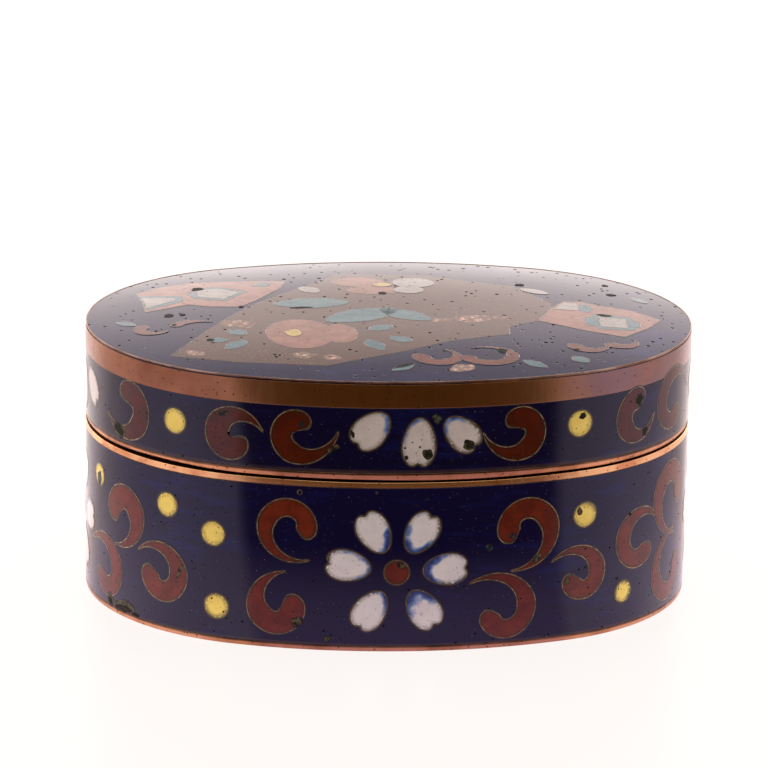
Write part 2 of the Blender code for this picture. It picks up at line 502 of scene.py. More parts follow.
def ground_colour(finish, place, navy):
    """Navy with drifting streaks, a few bright patches and pale dust."""
    drawn = finish.stretched(place, (1.0, 1.0, 6.0))
    streaks = finish.cloud(drawn, 150.0, 6.0, 0.62)
    blotches = finish.cloud(place, 55.0, 3.0, 0.5)
    bright = finish.ease(streaks * 0.6 + blotches * 0.5, 0.56, 0.80)
    dust = finish.specks(place, 1100.0, 0.075)
    blue = finish.mix(bright * 0.55, navy, BRIGHT_NAVY)
    return finish.mix(dust * 0.45, blue, (0.22, 0.24, 0.30)), streaks


def ground_finish(name, navy, foot, reach):
    """The ground round a wall, stained brown for some way above the rim at its foot."""
    finish = Finish(name, navy, 0.12)
    place = finish.place()
    pits = finish.most(finish.specks(place, 620.0, 0.10), finish.specks(place, 1500.0, 0.14))
    colour, streaks = ground_colour(finish, place, navy)
    stain = finish.near_height(foot, reach) * finish.cloud(place, 700.0, 4.0, 0.6)
    finish.feed("Base Color", finish.mix(stain, colour, (0.075, 0.044, 0.034)))
    finish.feed("Roughness", streaks * 0.10 + 0.05)
    finish.bump(streaks * 0.12 - pits, 0.03 * MM)
    finish.open_pits(pits)
    return finish.material


SIDE_GROUND = ground_finish("body_ground_enamel", NAVY, FIELD_FOOT, 0.35 * MM)


def field_ring(name, foot, head, finish):
    deep = FIELD_DEPTH - 0.05 * MM
    corners = [
        (deep, foot),
        (GROUND_INSET, foot),
        (GROUND_INSET, head),
        (deep, head),
    ]
    section = [(deep, (foot + head) / 2)] + corners + [(deep, (foot + head) / 2)]
    return oval_piece(name, softened(section, 0.05 * MM)[:-1], [finish], ring=True)


SLIVER = 0.01 * MM
body_ground = field_ring(
    "body_ground_enamel", FIELD_FOOT + SLIVER, FIELD_HEAD - SLIVER, SIDE_GROUND
)
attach(body_ground, "root")
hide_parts("body_enamel")

# Scrolls: comma-shaped cells of red enamel, each inside a hair-thin brass wire
# bent round its outline. They lie in pairs and threes round the body and the lid.
# Each is given as along, height, spine radius, head angle, turn, growth and half width.
WIRE = 0.15 * MM
WIRE_LEVEL = 0.018 * MM
CELL_LEVEL = 0.006 * MM
CELL_DEPTH = 0.25 * MM
BODY_SCROLLS = [
    (-38.1, 13.7, 1.7, -138, -334, 2.9, 1.42),
    (-42.0, 4.9, 1.8, -179, 333, 3.2, 1.17),
    (-31.0, 7.2, 1.95, -201, 351, 2.4, 1.22),
    (-14.2, 15.65, 2.15, -36, 337, 2.3, 1.03),
    (-15.35, 5.1, 1.6, 54, -333, 3.0, 1.35),
    (14.7, 15.2, 2.1, 225, -333, 2.75, 1.2),
    (12.3, 4.4, 1.92, -190, 329, 3.15, 1.1),
    (22.5, 7.9, 1.52, -195, 345, 3.2, 1.1),
    (31.4, 11.0, 2.3, -20, -323, 2.1, 1.1),
    (39.3, 15.4, 2.5, -42, 326, 2.3, 1.3),
    (39.1, 5.2, 2.5, 35, -322, 2.2, 1.1),
]
LID_SCROLLS = [
    (-36.7, 27.5, 1.6, 149, -308, 3.3, 1.3),
    (-21.65, 26.3, 1.22, -1, -346, 3.45, 1.4),
    (-13.55, 27.45, 1.32, 26, 337, 3.9, 1.2),
    (13.9, 27.6, 1.38, 161, -339, 3.5, 1.2),
    (30.6, 27.2, 2.2, 63, 293, 1.5, 1.2),
    (38.3, 26.9, 2.0, -15, -335, 3.0, 1.0),
]
SPINE_STEPS = 160
FULL_PART = 0.49
TAPER_PART = 0.46


def scroll_shape(along, height, radius, head, turn, growth, half, grow):
    """A function from (part of the way from head to tail, side -1 to 1) to (along, height)."""
    half *= MM
    spine = []
    for step in range(-8, SPINE_STEPS + 9):
        part = step / SPINE_STEPS
        angle = math.radians(head + turn * part)
        reach = radius * (1 + (growth - 1) * part**3)
        spine.append(Vector((along + reach * math.cos(angle), height + reach * math.sin(angle))) * MM)
    lengths = [0.0]
    for before, after in zip(spine, spine[1:]):
        lengths.append(lengths[-1] + (after - before).length)
    start = lengths[8]
    whole = lengths[8 + SPINE_STEPS] - start

    def width_at(distance):
        part = min(1.0, max(0.0, distance / whole))
        fall = min(1.0, max(0.0, (part - FULL_PART) / TAPER_PART))
        body_width = half * (0.9 * (1 - fall) ** 1.15 + 0.1 * (1 - part**8))
        bulb = 1 + 0.12 * math.exp(-((distance / half - 1) / 1.2) ** 2)
        into_head = min(1.0, (distance + grow) / (half + grow))
        return (body_width * bulb + grow) * math.sqrt(max(0.0, 1 - (1 - into_head) ** 2))

    def shape(part, side):
        distance = -grow + (whole + 2 * grow) * part**1.4
        index = 0
        while index < len(lengths) - 2 and lengths[index + 1] - start < distance:
            index += 1
        step = spine[index + 1] - spine[index]
        share = (distance - (lengths[index] - start)) / step.length
        across = Vector((-step.y, step.x)).normalized()
        closing = min(1.0, (whole + grow - distance) / (grow + 0.02 * MM))
        width = width_at(distance) * max(0.0, closing)
        return spine[index] + step * share + across * width * side, width * (1 - abs(side))

    return shape


def add_scroll(mesh, shape, place, level, columns=44, rows=4):
    """Add one swept cell to the mesh, as a thin plate set into the enamel."""
    edge = mesh.verts.layers.float["edge"]
    made = bmesh.ops.create_grid(mesh, x_segments=columns, y_segments=rows, size=0.5)["verts"]
    for vert in made:
        spot, vert[edge] = shape(min(1.0, max(0.0, vert.co.x + 0.5)), vert.co.y * 2)
        vert.co = place(spot.x, spot.y, level)
    return made


def plate(name, fill, finishes, place, depth=CELL_DEPTH):
    """A piece of thin plates: fill adds their faces, which are then given thickness."""
    mesh = bmesh.new()
    mesh.verts.layers.float.new("edge")
    mesh.verts.layers.float.new("inward")
    fill(mesh)
    bmesh.ops.remove_doubles(mesh, verts=mesh.verts, dist=0.002 * MM)
    bmesh.ops.dissolve_degenerate(mesh, edges=mesh.edges, dist=0.002 * MM)
    bmesh.ops.recalc_face_normals(mesh, faces=mesh.faces)
    for face in mesh.faces:
        outward = place.outward(face.calc_center_median())
        if face.normal.dot(outward) < 0:
            face.normal_flip()
    faces = list(mesh.faces)
    made = bmesh.ops.extrude_face_region(mesh, geom=faces, use_keep_orig=True)["geom"]
    for item in made:
        if isinstance(item, bmesh.types.BMVert):
            item.co -= place.outward(item.co) * depth
    bmesh.ops.reverse_faces(mesh, faces=[item for item in made if isinstance(item, bmesh.types.BMFace)])
    bmesh.ops.recalc_face_normals(mesh, faces=mesh.faces)
    return finished(name, mesh, finishes)


class WallPlace:
    """Puts flat cells on the wall, at a level under its surface."""

    def __call__(self, along, height, level):
        return wall_point(along, height, level)

    def outward(self, spot):
        x, y = abs(spot.x), abs(spot.y)
        if math.atan2(y + SIDE_CENTRE, x) > MEETING_ANGLE:
            flat = Vector((x, y + SIDE_CENTRE, 0.0))
        else:
            flat = Vector((x - END_CENTRE, y, 0.0))
        flat.x = math.copysign(flat.x, spot.x) if flat.x > 0 else flat.x * math.copysign(1, spot.x)
        flat.y = math.copysign(flat.y, spot.y)
        return flat.normalized()


ON_WALL = WallPlace()


def wire_finish(name, brass, worn_from, width, fringe, edging=(0.075, 0.058, 0.028)):
    """Brass wire, worn bright along its crest, in enamel that it stained olive."""
    finish = Finish(name, brass, 0.35, 0.85)
    place = finish.place()
    across = finish.attribute("edge") - fringe
    crest = finish.ease(across, 0.05 * width, 0.4 * width) - finish.ease(across, 0.6 * width, 0.95 * width)
    clouds = finish.cloud(place, 1300.0, 5.0, 0.7)
    bright = crest * finish.ease(clouds, worn_from, worn_from + 0.16)
    reach = finish.ease(across + clouds * 2.0 * fringe, 0.0, 1.2 * fringe + 0.01 * MM)
    olive = finish.mix(finish.ease(clouds, 0.45, 0.60), edging, (0.020, 0.018, 0.014))
    stained = finish.mix(reach, NAVY, olive)
    finish.feed("Base Color", finish.mix(bright, stained, brass))
    finish.feed("Metallic", bright * 0.85)
    finish.feed("Roughness", bright * 0.15 + 0.15)
    finish.bump(bright, 0.02 * MM)
    return finish.material


def cell_finish(name, base_colour, deep_colour, stain_colour, stain_reach, pit_size=0.10):
    """Cell enamel: clouded, finely pitted, and stained in a broken band by its wire."""
    finish = Finish(name, base_colour, 0.15)
    place = finish.place()
    clouds = finish.cloud(place, 420.0, 6.0, 0.62)
    grain = finish.cloud(place, 2600.0, 3.0, 0.5)
    pits = finish.most(
        finish.specks(place, 700.0, pit_size), finish.specks(place, 1700.0, 1.5 * pit_size)
    )
    edge = finish.attribute("edge")
    drift = finish.ease(finish.cloud(place, 260.0, 2.0), 0.42, 0.62)
    band = 1.0 - finish.ease(edge + clouds * stain_reach, stain_reach * 0.35, stain_reach * 1.15)
    stain = band * finish.ease(grain, 0.28, 0.52) * (drift * 0.4 + 0.6)
    colour = finish.mix(finish.ease(clouds, 0.32, 0.68), base_colour, deep_colour)
    finish.feed("Base Color", finish.mix(stain, colour, stain_colour))
    finish.feed("Roughness", clouds * 0.10 + 0.10)
    finish.bump(clouds * 0.1 - pits, 0.03 * MM)
    finish.open_pits(pits)
    return finish


def repeated(motifs):
    """The motifs of the front, and the same again round the back."""
    back = [(motif[0] + GIRTH / 2 / MM, *motif[1:]) for motif in motifs]
    return motifs + back


SCROLL_FRINGE = 0.13 * MM
FIRED_FRINGE = 0.20 * MM
WIRE_BRASS = wire_finish("cloison_brass", (0.46, 0.31, 0.15), 0.42, WIRE, SCROLL_FRINGE)
FIRED_BRASS = wire_finish("fired_brass", (0.46, 0.33, 0.16), 0.46, WIRE, FIRED_FRINGE)
RED_ENAMEL = cell_finish(
    "red_enamel", (0.165, 0.022, 0.009), (0.100, 0.012, 0.005), (0.018, 0.016, 0.008), 0.55 * MM
).material
LID_RED_ENAMEL = cell_finish(
    "lid_red_enamel", (0.088, 0.0095, 0.003), (0.055, 0.006, 0.002), (0.014, 0.013, 0.008), 0.55 * MM
).material


def scroll_pieces(where, motifs, red):
    def cells(mesh):
        for motif in repeated(motifs):
            add_scroll(mesh, scroll_shape(*motif, 0.0), ON_WALL, CELL_LEVEL)

    def wires(mesh):
        for motif in repeated(motifs):
            grown = scroll_shape(*motif, WIRE + SCROLL_FRINGE)
            add_scroll(mesh, grown, ON_WALL, WIRE_LEVEL, rows=2)

    return (
        plate(where + "_scroll_cells", cells, [red], ON_WALL),
        plate(where + "_scroll_wires", wires, [WIRE_BRASS], ON_WALL),
    )


for piece in (
    *scroll_pieces("body", BODY_SCROLLS, RED_ENAMEL),
    *scroll_pieces("lid", LID_SCROLLS, LID_RED_ENAMEL),
):
    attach(piece, "root")

# Flowers: white petals with a notch in the outer end, tinged with blue where
# the enamel ran thin, round a red centre. Whole flowers sit on the body's front,
# ends and back, and half flowers hang from the shoulder band on the lid.
FLOWER_ANGLES = (3, 61, 118, 172, 238, 304)
FLOWER_REACH = 6.0
FLOWER_HEIGHT = 10.1
FLOWER_CENTRE_RADIUS = 1.45
PETAL_LENGTH, PETAL_WIDTH = 5.45, 3.75
LID_PETALS = [
    (-4.5, 27.95, 226, 5.3, 3.85),
    (1.3, 26.4, -92, 6.1, 3.85),
    (6.5, 27.4, -44, 5.2, 3.65),
]
QUARTER = GIRTH / 4 / MM
FLOWER_MIDDLES = (-1.1, QUARTER + 0.8, 2 * QUARTER - 1.1, 3 * QUARTER - 1.6)
YELLOW_DOTS = {
    "body": [
        (-44.2, 16.8, 1.32),
        (-30.2, 16.4, 1.44),
        (-23.7, 13.8, 1.46),
        (-23.2, 4.6, 1.50),
        (22.7, 15.9, 1.52),
        (29.0, 4.9, 1.32),
    ],
    "lid": [(-29.1, 27.2, 1.52), (21.6, 27.6, 1.58)],
}


def petal_outline(length, width):
    def outline(turn):
        bent = (turn + math.pi) % (2 * math.pi) - math.pi
        notch = 1 - 0.19 * math.exp(-((bent / 0.22) ** 2))
        across = width / 2 * math.sin(turn) * (1 + 0.18 * math.cos(turn))
        return length / 2 * math.cos(turn) * notch, across

    return outline


def round_outline(radius):
    return lambda turn: (radius * math.cos(turn), radius * math.sin(turn))


def add_disc(mesh, centre, direction, outline, place, level, grow=0.0, rings=6, sides=48):
    """Add one cell inside a closed outline, in rings from its edge to its middle."""
    edge = mesh.verts.layers.float["edge"]
    inward = mesh.verts.layers.float["inward"]
    circle = bmesh.ops.create_circle(mesh, segments=sides, radius=1.0)["verts"]
    parts = {vert: 1.0 for vert in circle}
    lines = list({line for vert in circle for line in vert.link_edges})
    for ring in range(1, rings + 1):
        made = bmesh.ops.extrude_edge_only(mesh, edges=lines)["geom"]
        fresh = {item for item in made if isinstance(item, bmesh.types.BMVert)}
        parts.update({vert: (1 - ring / rings) ** 0.7 for vert in fresh})
        new_lines = (item for item in made if isinstance(item, bmesh.types.BMEdge))
        lines = [line for line in new_lines if fresh.issuperset(line.verts)]
    facing = Matrix.Rotation(math.radians(direction), 2)
    for vert, part in parts.items():
        turn = math.atan2(vert.co.y, vert.co.x) % (2 * math.pi)
        rim = Vector(outline(turn)) * MM
        tangent = Vector(outline(turn + 0.02)) - Vector(outline(turn - 0.02))
        rim += Vector((tangent.y, -tangent.x)).normalized() * grow
        spot = Vector(centre) * MM + facing @ (rim * part)
        vert[edge] = rim.length * (1 - part)
        vert[inward] = 0.5 - 0.5 * part * math.cos(turn)
        vert.co = place(spot.x, spot.y, level)


def petals_of_body():
    found = []
    for middle in FLOWER_MIDDLES:
        for angle in FLOWER_ANGLES:
            along = middle + FLOWER_REACH * math.cos(math.radians(angle))
            height = FLOWER_HEIGHT + FLOWER_REACH * 0.96 * math.sin(math.radians(angle))
            found.append((along, height, angle, PETAL_LENGTH, PETAL_WIDTH))
    return found


def petals_of_lid():
    found = []
    for middle in (0.0, QUARTER, 2 * QUARTER, 3 * QUARTER):
        for along, height, angle, length, width in LID_PETALS:
            found.append((along + middle, height, angle, length, width))
    return found


def petal_finish(name, white, shaded, clean):
    """White enamel with blue run into it from the petal's inner end and its rim."""
    finish = cell_finish(name, white, shaded, (0.070, 0.055, 0.027), 0.95 * MM, 0.07)
    place = finish.place()
    clear = Value(finish, finish.surface.inputs["Base Color"].links[0].from_socket)
    run = finish.cloud(place, 700.0, 5.0, 0.65)
    patches = finish.cloud(place, 330.0, 2.0, 0.5)
    near_rim = 1.0 - finish.ease(finish.attribute("edge"), 0.0, 1.20 * MM)
    tinge = near_rim * 0.45 + finish.attribute("inward") * 0.85 + patches * 2.0 + run * 0.9
    blue = finish.mix(finish.ease(tinge, clean + 0.25, clean + 0.6), (0.08, 0.19, 0.44), (0.006, 0.024, 0.15))
    finish.feed("Base Color", finish.mix(finish.ease(tinge, clean, clean + 0.4) * 0.95, clear, blue))
    return finish.material


# The lid's white is a darker copy of the body's white: painted shade, as the lid gets less light from the table
# than the lower body.
WHITE_ENAMEL = {
    "body": petal_finish("white_enamel", (0.82, 0.79, 0.72), (0.73, 0.70, 0.65), 2.25),
    "lid": petal_finish("lid_shaded_white_enamel", (0.68, 0.62, 0.54), (0.59, 0.54, 0.47), 2.42),
}
YELLOW_ENAMEL = cell_finish(
    "yellow_enamel", (0.98, 0.77, 0.155), (0.88, 0.66, 0.115), (0.115, 0.100, 0.025), 1.05 * MM
).material
PETALS = {"body": petals_of_body(), "lid": petals_of_lid()}
RED_DOTS = [(middle, FLOWER_HEIGHT, FLOWER_CENTRE_RADIUS) for middle in FLOWER_MIDDLES]


margin = WIRE + FIRED_FRINGE


def petal_pieces(where):
    def fill(level, grow, rings):
        def add_all(mesh):
            for along, height, angle, length, width in PETALS[where]:
                outline = petal_outline(length, width)
                add_disc(mesh, (along, height), angle, outline, ON_WALL, level, grow, rings)

        return add_all

    return (
        plate(where + "_petal_cells", fill(CELL_LEVEL, 0.0, 6), [WHITE_ENAMEL[where]], ON_WALL),
        plate(where + "_petal_wires", fill(WIRE_LEVEL, margin, 3), [FIRED_BRASS], ON_WALL),
    )


def dot_pieces(name, dots, finish):
    def fill(level, grow, rings):
        def add_all(mesh):
            for along, height, radius in dots:
                outline = round_outline(radius)
                add_disc(mesh, (along, height), 0, outline, ON_WALL, level, grow, rings)

        return add_all

    return (
        plate(name + "_cells", fill(CELL_LEVEL, 0.0, 6), [finish], ON_WALL),
        plate(name + "_wires", fill(WIRE_LEVEL, margin, 3), [FIRED_BRASS], ON_WALL),
    )


flower_pieces = [*petal_pieces("body"), *petal_pieces("lid")]
flower_pieces += dot_pieces("flower_centre", RED_DOTS, RED_ENAMEL)
for where, dots in YELLOW_DOTS.items():
    flower_pieces += dot_pieces(where + "_yellow_dot", repeated(dots), YELLOW_ENAMEL)
for piece in flower_pieces:
    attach(piece, "root")

# Lid shell: the copper of the lid, with a narrow rim below, a broad plain band
# at the shoulder and the thin lip of the top plate above it, with a fine seam
# between them. The band is browner than the rims and rubbed from top to bottom.
LID_LOW, LID_HIGH = (Vector(corner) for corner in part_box("lid_shell"))
LID_FIELD_LOW, LID_FIELD_HIGH = (Vector(corner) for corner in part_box("lid_side_enamel"))
TOP_LOW, TOP_HIGH = (Vector(corner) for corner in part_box("lid_top_enamel"))
LID_FIELD_FOOT = LID_FIELD_LOW.z - FUSED_GAP
LID_FIELD_HEAD = LID_FIELD_HIGH.z + FUSED_GAP
LIP_TOP = LID_HIGH.z
RIM_LEAN = 0.20 * MM
RIM_TURN = 0.42 * MM
LIP_HEIGHT = 0.3 * MM
LIP_WIDTH = 0.12 * MM
LIP_SETBACK = 0.05 * MM
SEAM_HEIGHT = 0.08 * MM
SEAM_DEPTH = 0.2 * MM
LID_BORE = cap_outside - FUSED_GAP
BAND_HEAD = LIP_TOP - LIP_HEIGHT - SEAM_HEIGHT


def band_finish():
    """Brown shoulder copper: clouded patina, fine upright rubbing lines, and painted light, brighter copper across
    the middle of the front and back, where the band mirrors the dark side.
    """
    finish = Finish("shoulder_copper", (0.38, 0.18, 0.10), 0.3, 1.0)
    place = finish.place()
    lines = finish.cloud(finish.stretched(finish.unrolled(), (2600.0, 130.0, 1.0)), 1.0, 4.0)
    slow = finish.cloud(place, 95.0, 4.0, 0.55)
    patches = finish.cloud(place, 420.0, 6.0, 0.65)
    dirt = finish.specks(place, 1300.0, 0.16)
    brown = finish.ease(slow + patches * 0.3, 0.45, 0.85)
    across = finish.node("SeparateXYZ", {}, {0: place}, "X")
    tarnish = finish.ease(slow + across * 9.0, 0.50, 0.85) * 0.7
    # Painted light: the middle of the front and back is given brighter copper, where the band mirrors the dark
    # side; worn carries it from here on.
    middle = 1.0 - finish.ease(across * across, (15 * MM) ** 2, (24 * MM) ** 2)
    worn = finish.mix(brown, (0.36, 0.170, 0.098), (0.23, 0.090, 0.045))
    worn = finish.mix(tarnish, worn, (0.25, 0.18, 0.19))
    worn = finish.mix(middle * 0.8, worn, (0.52, 0.27, 0.12))
    finish.feed("Base Color", finish.mix(dirt * 0.8, worn, (0.05, 0.03, 0.02)))
    finish.feed("Roughness", lines * 0.12 + patches * 0.10 + 0.12)
    finish.bump(lines * 0.5 + patches * 0.5 - dirt, 0.012 * MM, 0.6)
    return finish.material


def lid_zone(inset, height):
    """The shoulder band and the lip above it have finishes of their own."""
    if inset > FIELD_DEPTH or height < LID_FIELD_HEAD:
        return 0
    return 1 if height < BAND_HEAD + SEAM_HEIGHT else 2


RIM_KNOTS = [
    (-60, -0.08), (-44, -0.12), (-31, 0.06), (-19, -0.14), (7, -0.28), (20, -0.13), (40, -0.13), (60, -0.08)
]


def rim_wave(along, spot):
    """The lid's lower rim was filed by hand, and gapes a little on the left."""
    if spot.z < LID_LOW.z + 0.6 * RIM_TURN:
        spot.z += between(along, RIM_KNOTS) + 0.02 * MM * noise.noise(spot * 150.0)
    elif BAND_HEAD + SEAM_HEIGHT / 2 < spot.z < LIP_TOP - LIP_HEIGHT / 2:
        spot.z += 0.09 * MM * max(0.0, math.cos(2 * math.pi * (along / GIRTH + 0.16)))
    return spot


RIM_COPPER = copper_finish(
    "rim_copper", (0.70, 0.34, 0.17), (0.44, 0.19, 0.08), 0.42, 0.72, 0.28, [(LID_FIELD_FOOT, 0.30 * MM)]
)
LIP_COPPER = copper_finish("lip_copper", (0.40, 0.26, 0.19), (0.22, 0.12, 0.08), 0.35, 0.65, 0.40)
lid = oval_piece(
    "lid_copper",
    [(LID_BORE, LID_LINING_HIGH.z + FUSED_GAP)]
    + softened(
        [
            (LID_BORE, LID_LINING_HIGH.z),
            (LID_BORE, LID_LOW.z),
            (RIM_LEAN, LID_LOW.z),
            (0.0, LID_LOW.z + RIM_TURN, 0.3 * MM),
            (0.0, LID_FIELD_FOOT),
            (FIELD_DEPTH, LID_FIELD_FOOT),
            (FIELD_DEPTH, LID_FIELD_HEAD),
            (0.0, LID_FIELD_HEAD),
            (0.0, BAND_HEAD, 0.02 * MM),
            (SEAM_DEPTH, BAND_HEAD),
            (SEAM_DEPTH, BAND_HEAD + SEAM_HEIGHT),
            (LIP_SETBACK, BAND_HEAD + SEAM_HEIGHT),
            (LIP_SETBACK, LIP_TOP, 0.26 * MM),
            (LIP_SETBACK + LIP_WIDTH, LIP_TOP),
            (LIP_SETBACK + LIP_WIDTH, TOP_LOW.z - FUSED_GAP),
        ]
    ),
    [RIM_COPPER, band_finish(), LIP_COPPER],
    finish_at=lid_zone,
    waver=0.04 * MM,
    shift=rim_wave,
)
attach(lid, "root")
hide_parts("lid_shell")
LID_NAVY = (0.0008, 0.0006, 0.0220)
lid_ground = field_ring(
    "lid_ground_enamel",
    LID_FIELD_FOOT + SLIVER,
    LID_FIELD_HEAD - SLIVER,
    ground_finish("lid_ground_enamel", LID_NAVY, LID_FIELD_FOOT, 0.55 * MM),
)
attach(lid_ground, "root")
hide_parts("lid_side_enamel")

# Lid top: the enamelled plate that closes the lid, domed a little so that the
# enamel does not crack. It has more pits than the side, because air rose into it.
TOP_EDGE = LIP_SETBACK + LIP_WIDTH + 0.01 * MM
DOME_RINGS = 40
DOME_FALL = 2.8
GROUND_DIP = 0.05 * MM
DOME_RISE = TOP_HIGH.z - LIP_TOP


def oval_reach(x, y):
    """How far out a place on the top is: 0 in the middle and 1 at the plate's edge."""
    low, high = 0.0, 1.4
    for _ in range(24):
        part = (low + high) / 2
        across, along = abs(x) / max(part, 1e-6), abs(y) / max(part, 1e-6)
        if math.atan2(along + SIDE_CENTRE, across) > MEETING_ANGLE:
            outside = math.hypot(across, along + SIDE_CENTRE) > SIDE_RADIUS - TOP_EDGE
        else:
            outside = math.hypot(across - END_CENTRE, along) > END_RADIUS - TOP_EDGE
        low, high = (part, high) if outside else (low, part)
    return (low + high) / 2


class TopPlace:
    """Puts flat cells on the domed top, at a level under its surface."""

    def __call__(self, x, y, level):
        return Vector((x, y, LIP_TOP + DOME_RISE * (1 - oval_reach(x, y) ** DOME_FALL) - level))

    def outward(self, spot):
        return Vector((0.0, 0.0, 1.0))


ON_TOP = TopPlace()


def top_pits(finish, place):
    """A few large pits and many small ones, closer together in some places."""
    crowd = finish.ease(finish.cloud(place, 90.0, 2.0), 0.30, 0.60)
    small = finish.specks(place, 620.0, 0.17, 0.25) * (crowd * 0.6 + 0.4)
    return finish.most(finish.specks(place, 330.0, 0.10, 0.2), small)


def top_ground_finish():
    finish = Finish("top_ground_enamel", NAVY, 0.16)
    place = finish.place()
    pits = top_pits(finish, place)
    colour, streaks = ground_colour(finish, place, NAVY)
    finish.feed("Base Color", colour)
    finish.feed("Roughness", streaks * 0.10 + 0.12)
    finish.bump(streaks * 0.12 - pits, 0.04 * MM)
    finish.open_pits(pits)
    return finish.material


def top_plate():
    mesh = bmesh.new()
    count = COLUMNS_PER_ARC * 4
    rim = bmesh.ops.create_circle(mesh, cap_ends=True, segments=count, radius=1.0)["verts"]
    rim.sort(key=lambda vert: math.atan2(vert.co.y, vert.co.x))
    column = {vert: index for index, vert in enumerate(rim)}
    face = rim[0].link_faces[0]
    levels = [(vert, 1.0, index) for vert, index in column.items()]
    for vert, _, index in levels:
        vert.co = wall_point(GIRTH * index / count, 0.0, TOP_EDGE)
    for ring in range(1, DOME_RINGS):
        part = 1 - ring / DOME_RINGS
        before = list(face.verts)
        bmesh.ops.inset_individual(mesh, faces=[face], thickness=0.0)
        for old, new in zip(before, face.verts):
            index = column[old]
            column[new] = index
            levels.append((new, part, index))
    for vert, part, index in levels:
        spot = wall_point(GIRTH * index / count, 0.0, TOP_EDGE) * part
        height = LIP_TOP + DOME_RISE * (1 - part**DOME_FALL) - GROUND_DIP
        vert.co = Vector((spot.x, spot.y, height))
    edges = [edge for edge in mesh.edges if edge.is_boundary]
    made = bmesh.ops.extrude_edge_only(mesh, edges=edges)["geom"]
    for item in made:
        if isinstance(item, bmesh.types.BMVert):
            item.co.z = TOP_LOW.z
    bmesh.ops.contextual_create(
        mesh, geom=[item for item in mesh.edges if item.is_boundary]
    )
    bmesh.ops.recalc_face_normals(mesh, faces=mesh.faces)
    return finished("lid_top_ground", mesh, [top_ground_finish()])


top_ground = top_plate()
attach(top_ground, "root")
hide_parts("lid_top_enamel")

# Lid top motifs: a grey-gold panel with copper-flecked patches and a pink and a
# white flower among turquoise leaves, a folded pink ribbon at each end, and red
# scrolls. They are flat cells in thin wires, set in the dark blue like the side's.
TOP_WIRE = 0.10 * MM
PANEL_LEVEL = 0.038 * MM
LEVEL_STEP = 0.009 * MM
PANEL = [
    (-28, -17), (-20, -20.3), (-9.5, -22.3), (-0.2, -17.4), (6.3, -13), (14, -10), (14.3, -6.8),
    (18.5, -3.8), (21, 4), (17, 13), (5.5, 19.2), (-5, 20), (-10.5, 12.5), (-17.3, 3.5), (-20, -1),
]
TOP_POLYGONS = {
    "pink": [
        [(-31.2, 12.1), (-27.9, 15.1), (-24.3, 16.5), (-15.9, 16.8), (-12, 16.2), (-13.4, 11.8),
         (-16.5, 6.3), (-18.5, 3.5), (-22.3, 3.9), (-25.1, 5.3), (-27.9, 3.7), (-30.4, 2.4), (-30.7, 7.7)],
        [(18.4, -3.8), (20.7, 2.2), (22.7, 5.6), (24.8, 5.6), (26.5, 4.2), (30.7, 2), (34, -2),
         (31.7, -6.3), (28.3, -10.3), (23.7, -7.9), (20.3, -5.3)],
    ],
    "turquoise": [
        [(-24.9, 10.5), (-23.1, 13.5), (-20.8, 13.8), (-17.3, 11.1), (-20.2, 6.5), (-24, 8.2)],
        [(-31, 10.6), (-25.6, 9.6), (-25.6, 7), (-30.2, 3.4)],
        [(25.6, -0.2), (30.3, -1.6), (30.2, -7.4), (25.4, -7)],
        [(-16.8, 14.0), (-15.2, 15.6), (-13.6, 15.4), (-15, 13.4)],
    ],
    "white": [
        [(-23.6, 12.4), (-21, 13.1), (-18.1, 10.9), (-20.4, 7.5), (-23.6, 9)],
        [(-30.7, 9.6), (-26.7, 8.8), (-26.5, 7.6), (-30.2, 4.4)],
        [(20.9, 1.8), (22.7, 5.2), (24.2, 4.6), (24.1, 1.2)],
        [(26.2, -1.5), (29.6, -2.4), (29.1, -6.5), (26, -5.9)],
    ],
}
# Rounded cells: centre, direction, half length, half width and how pointed the ends are.
TOP_LEAVES = {
    "turquoise": [
        (-9.5, 4.8, 4, 4.8, 2.5, 0.3), (-3.6, -1.2, 32, 5.4, 2.7, 0.3), (1.9, -1.1, -42, 4.0, 2.0, 0.4),
        (-33, -2.7, -42, 1.5, 0.8, 0.5), (-19.5, -8.2, -53, 1.5, 1.1, 0.4), (-22, -11.3, 5, 1.3, 1.1, 0.5),
        (-19.9, -13.5, 55, 2.2, 1.1, 0.5), (-1.7, -7.1, 40, 1.8, 1.2, 0.4), (-3, -14.5, -70, 2.4, 1.1, 0.5),
        (0.4, -12.2, -42, 1.7, 1.1, 0.4), (-0.3, -23.3, 38, 1.8, 0.8, 0.6), (15.8, -21.8, -45, 1.8, 0.9, 0.5),
        (21.6, -19.9, -55, 1.3, 1.0, 0.4), (32.6, 7.4, -60, 1.5, 0.7, 0.5), (25, 2.4, 90, 1.9, 0.85, 0),
        (25.1, -3.8, 90, 2.1, 0.9, 0), (30.2, -4.4, 90, 1.7, 0.85, 0),
    ],
    "white": [(4.3, 15.0, 0, 2.7, 2.5, -0.1), (3.4, 11.2, 0, 1.9, 1.9, 0), (-9.3, 11.5, -60, 1.8, 1.2, 0.2),
              (19.5, 10.7, -40, 2.1, 1.0, 0.2)],
    "red": [],
    "pink": [(-11.8, -9.3, 92, 6.3, 4.2, 0), (-6.9, -9.5, 90, 4.1, 2.1, 0), (-2.8, 15.4, 0, 3.3, 2.6, 0),
             (-1.0, 11.0, 0, 3.5, 2.1, 0.1)],
    "yellow": [(-12.6, -9, 90, 1.5, 1.0, 0), (0.2, 13.9, 0, 1.2, 1.0, 0.2)],
    "gold": [(6.8, -23.5, 40, 1.8, 1.2, 0.2), (-19.2, -4.5, -35, 2.4, 1.6, 0.1), (-25.0, -16.2, -40, 1.5, 0.9, 0.1),
             (-12.0, -18.2, -10, 1.4, 1.2, 0.1), (-8.6, -19.2, -10, 1.2, 1.0, 0.1), (6.0, -3.6, 8, 1.6, 1.0, 0.2),
             (10.2, -3.0, 8, 2.6, 1.7, 0.2), (13.6, -2.4, 8, 1.2, 0.9, 0.2)],
}
